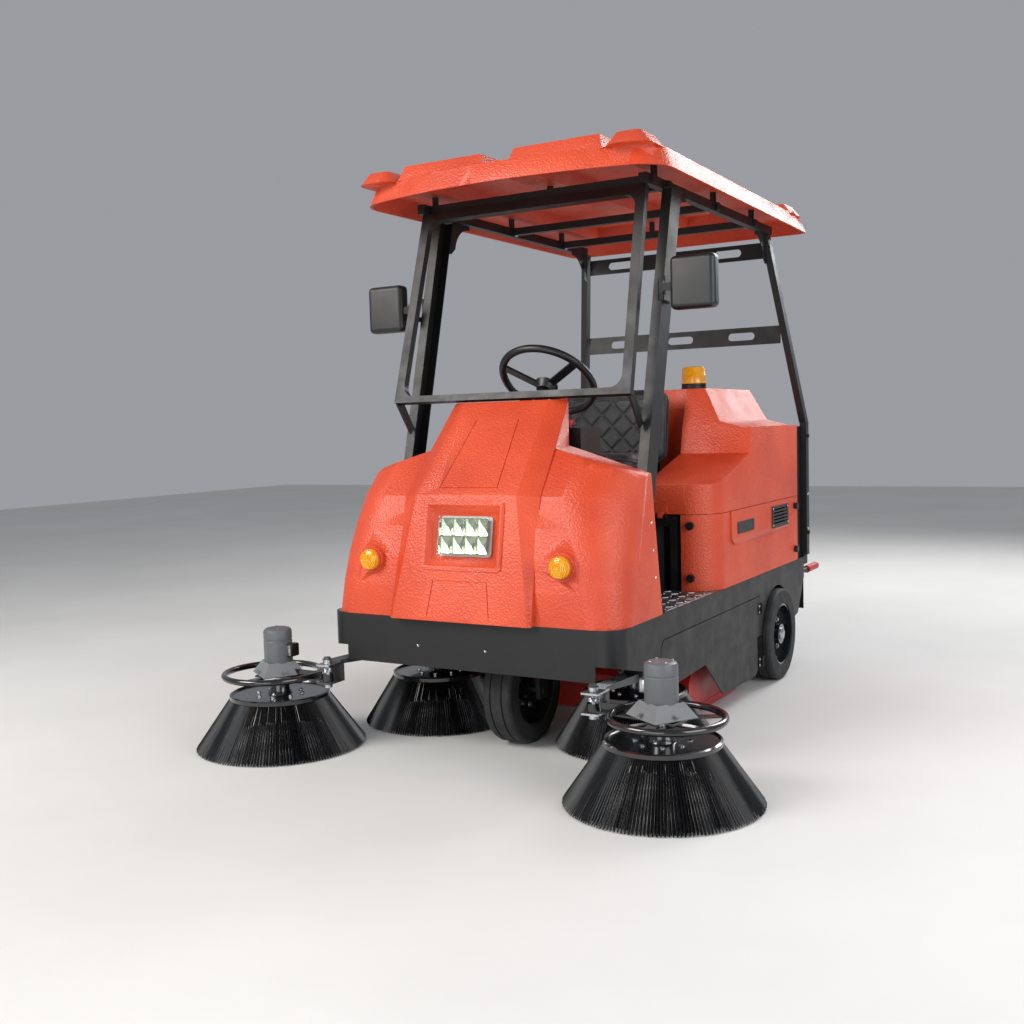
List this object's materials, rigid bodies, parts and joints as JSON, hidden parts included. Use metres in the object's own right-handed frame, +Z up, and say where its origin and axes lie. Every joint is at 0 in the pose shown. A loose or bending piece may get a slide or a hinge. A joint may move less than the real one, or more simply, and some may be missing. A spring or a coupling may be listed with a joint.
{
  "type": "ride on sweeper",
  "caption": "Battery ride-on floor sweeper with side brushes, roller brush, dust hopper drawer, driver's seat and roofed cab frame.",
  "frame": {"origin": "on the floor, below the middle of the whole machine's box", "axes": "+Z up, the front faces -Y, +X is the driver's left"},
  "size_m": [2.059, 2.6465, 2.045],
  "materials": {
    "orange_plastic": "rotomoulded, orange-peel grain",
    "black_steel": "powder coat, satin",
    "gloss_black_steel": "enamel, glossy",
    "tread_steel": "embossed tread plate",
    "tyre_rubber": "solid rubber",
    "rim_steel": "enamel",
    "black_plastic": "moulded, fine grain",
    "motor_grey": "enamel",
    "bristle": "straight nylon strands",
    "red_steel": "enamel",
    "red_rubber": "soft grip",
    "seat_vinyl": "quilted vinyl",
    "lamp_glass": "clear lens over reflectors",
    "amber_lens": "clear amber",
    "mirror_case": "moulded case with a mirror pane",
    "stop_red": "mushroom button",
    "key_metal": "plated",
    "battery_case": "moulded"
  },
  "bodies": {
    "chassis": {"chassis_shell": "black_steel", "chassis_frame": "black_steel", "deck_plate": "tread_steel", "front_cowl": "orange_plastic", "headlight": "lamp_glass", "signal_lamps": "amber_lens", "dash_panel": "black_plastic", "steering_column": "black_steel", "windshield_frame": "black_steel", "front_pillars": "black_steel", "rear_posts": "black_steel", "roof_frame": "black_steel", "canopy": "orange_plastic", "rear_panel": "black_steel", "side_panels": "orange_plastic", "panel_knobs": "black_plastic", "vent_grilles": "black_plastic", "batteries": "battery_case", "suction_unit": "black_plastic", "main_brush_housing": "red_steel", "door_hinges": "black_steel"},
    "hood": {"seat_hood": "orange_plastic", "beacon_base": "black_plastic", "beacon_lens": "amber_lens"},
    "seat": {"seat_frame": "black_steel", "seat_cushion": "seat_vinyl", "seat_back": "seat_vinyl"},
    "steering_wheel": {"steering_wheel": "black_plastic"},
    "horn": {"horn_button": "black_plastic"},
    "fork": {"steer_fork": "black_steel"},
    "front_wheel": {"front_tyre": "tyre_rubber", "front_rim": "rim_steel"},
    "left_rear_wheel": {"left_rear_tyre": "tyre_rubber", "left_rear_rim": "rim_steel"},
    "right_rear_wheel": {"right_rear_tyre": "tyre_rubber", "right_rear_rim": "rim_steel"},
    "main_roller": {"main_brush": "bristle"},
    "hopper": {"hopper_bin": "black_steel", "hopper_handles": "black_steel", "hopper_grips": "red_rubber"},
    "left_door": {"left_door": "black_steel"},
    "right_door": {"right_door": "black_steel"},
    "left_mirror": {"left_mirror": "mirror_case"},
    "right_mirror": {"right_mirror": "mirror_case"},
    "throttle": {"throttle_pedal": "black_plastic"},
    "brake": {"brake_pedal": "black_plastic"},
    "stop": {"stop_button": "stop_red"},
    "key": {"key_switch": "key_metal"},
    "left_lift": {"left_lift_arm": "black_steel"},
    "left_head": {"left_brush_head": "gloss_black_steel", "left_brush_motor": "motor_grey"},
    "left_brush": {"left_side_brush": "bristle"},
    "left_inner_lift": {"left_inner_arm": "motor_grey"},
    "left_inner_spin": {"left_inner_brush": "bristle"},
    "right_lift": {"right_lift_arm": "black_steel"},
    "right_head": {"right_brush_head": "gloss_black_steel", "right_brush_motor": "motor_grey"},
    "right_brush": {"right_side_brush": "bristle"},
    "right_inner_lift": {"right_inner_arm": "motor_grey"},
    "right_inner_spin": {"right_inner_brush": "bristle"}
  },
  "joints": [
    {"name": "hood_tilt", "type": "hinge", "parent": "chassis", "child": "hood", "pos_m": [0, -0.10875, 0.755], "axis": [1, 0, 0], "range_deg": [0, 35]},
    {"name": "seat_slide", "type": "slide", "parent": "hood", "child": "seat", "axis": [0, 1, 0], "range_m": [-0.08, 0.06]},
    {"name": "fork_steer", "type": "hinge", "parent": "chassis", "child": "fork", "pos_m": [0.04, -0.63075, 0.4], "axis": [0, 0, 1], "range_deg": [-40, 40]},
    {"name": "steering_wheel_turn", "type": "hinge", "parent": "chassis", "child": "steering_wheel", "pos_m": [0, -0.31275, 1.271], "axis": [0, 0.6428, 0.766], "range_deg": [-120, 120]},
    {"name": "horn_press", "type": "slide", "parent": "steering_wheel", "child": "horn", "axis": [0, -0.6428, -0.766], "range_m": [0, 0.003], "stiffness_N_per_m": 400, "springref_m": -0.004},
    {"name": "front_wheel_spin", "type": "hinge", "parent": "fork", "child": "front_wheel", "pos_m": [0.04, -0.63075, 0.188], "axis": [1, 0, 0], "continuous": true},
    {"name": "left_rear_wheel_spin", "type": "hinge", "parent": "chassis", "child": "left_rear_wheel", "pos_m": [0.535, 0.65325, 0.193], "axis": [1, 0, 0], "continuous": true},
    {"name": "right_rear_wheel_spin", "type": "hinge", "parent": "chassis", "child": "right_rear_wheel", "pos_m": [-0.535, 0.65325, 0.193], "axis": [1, 0, 0], "continuous": true},
    {"name": "main_brush_spin", "type": "hinge", "parent": "chassis", "child": "main_roller", "pos_m": [0, 0.12825, 0.142], "axis": [1, 0, 0], "continuous": true},
    {"name": "left_arm_lift", "type": "hinge", "parent": "chassis", "child": "left_lift", "pos_m": [0.511, -0.72675, 0.29], "axis": [-1, 0, 0], "range_deg": [0, 8]},
    {"name": "left_head_swing", "type": "hinge", "parent": "left_lift", "child": "left_head", "pos_m": [0.511, -1.02475, 0.272], "axis": [0, 0, 1], "range_deg": [-30, 8], "stiffness_Nm_per_rad": 60},
    {"name": "left_brush_spin", "type": "hinge", "parent": "left_head", "child": "left_brush", "pos_m": [0.732, -1.02575, 0.18], "axis": [0, 0, 1], "continuous": true},
    {"name": "left_inner_lift_turn", "type": "hinge", "parent": "chassis", "child": "left_inner_lift", "pos_m": [0.41, -0.18675, 0.33], "axis": [-1, 0, 0], "range_deg": [0, 8]},
    {"name": "left_inner_spin_turn", "type": "hinge", "parent": "left_inner_lift", "child": "left_inner_spin", "pos_m": [0.41, -0.48675, 0.18], "axis": [0, 0, 1], "continuous": true},
    {"name": "right_arm_lift", "type": "hinge", "parent": "chassis", "child": "right_lift", "pos_m": [-0.511, -0.72675, 0.29], "axis": [-1, 0, 0], "range_deg": [0, 8]},
    {"name": "right_head_swing", "type": "hinge", "parent": "right_lift", "child": "right_head", "pos_m": [-0.511, -1.02475, 0.272], "axis": [0, 0, -1], "range_deg": [-30, 8], "stiffness_Nm_per_rad": 60},
    {"name": "right_brush_spin", "type": "hinge", "parent": "right_head", "child": "right_brush", "pos_m": [-0.732, -1.02575, 0.18], "axis": [0, 0, -1], "continuous": true},
    {"name": "right_inner_lift_turn", "type": "hinge", "parent": "chassis", "child": "right_inner_lift", "pos_m": [-0.41, -0.18675, 0.33], "axis": [-1, 0, 0], "range_deg": [0, 8]},
    {"name": "right_inner_spin_turn", "type": "hinge", "parent": "right_inner_lift", "child": "right_inner_spin", "pos_m": [-0.41, -0.48675, 0.18], "axis": [0, 0, -1], "continuous": true},
    {"name": "hopper_slide", "type": "slide", "parent": "chassis", "child": "hopper", "axis": [0, 1, 0], "range_m": [0, 0.5]},
    {"name": "left_door_swing", "type": "hinge", "parent": "chassis", "child": "left_door", "pos_m": [0.567, 0.42625, 0.23], "axis": [0, 0, 1], "range_deg": [0, 105]},
    {"name": "right_door_swing", "type": "hinge", "parent": "chassis", "child": "right_door", "pos_m": [-0.567, 0.42625, 0.23], "axis": [0, 0, -1], "range_deg": [0, 105]},
    {"name": "left_mirror_fold", "type": "hinge", "parent": "chassis", "child": "left_mirror", "pos_m": [0.512, -0.44675, 1.56], "axis": [0, 0, 1], "range_deg": [-40, 40]},
    {"name": "right_mirror_fold", "type": "hinge", "parent": "chassis", "child": "right_mirror", "pos_m": [-0.512, -0.44675, 1.56], "axis": [0, 0, -1], "range_deg": [-40, 40]},
    {"name": "throttle_press", "type": "hinge", "parent": "chassis", "child": "throttle", "pos_m": [0.15, -0.47675, 0.5], "axis": [1, 0, 0], "range_deg": [0, 15], "stiffness_Nm_per_rad": 6, "springref_deg": -11.46},
    {"name": "brake_press", "type": "hinge", "parent": "chassis", "child": "brake", "pos_m": [-0.15, -0.47675, 0.5], "axis": [1, 0, 0], "range_deg": [0, 15], "stiffness_Nm_per_rad": 6, "springref_deg": -11.46},
    {"name": "stop_press", "type": "slide", "parent": "chassis", "child": "stop", "axis": [0, 0, -1], "range_m": [0, 0.005], "stiffness_N_per_m": 500, "springref_m": -0.004},
    {"name": "key_turn", "type": "hinge", "parent": "chassis", "child": "key", "pos_m": [0.1, -0.44675, 1.1], "axis": [0, 0, 1], "range_deg": [-90, 0]}
  ],
  "couplings": [
    {"joint": "steering_wheel_turn", "follows": "fork_steer", "ratio": 3},
    {"joint": "left_inner_lift_turn", "follows": "left_arm_lift", "ratio": 0.8},
    {"joint": "right_inner_lift_turn", "follows": "right_arm_lift", "ratio": 0.8}
  ]
}
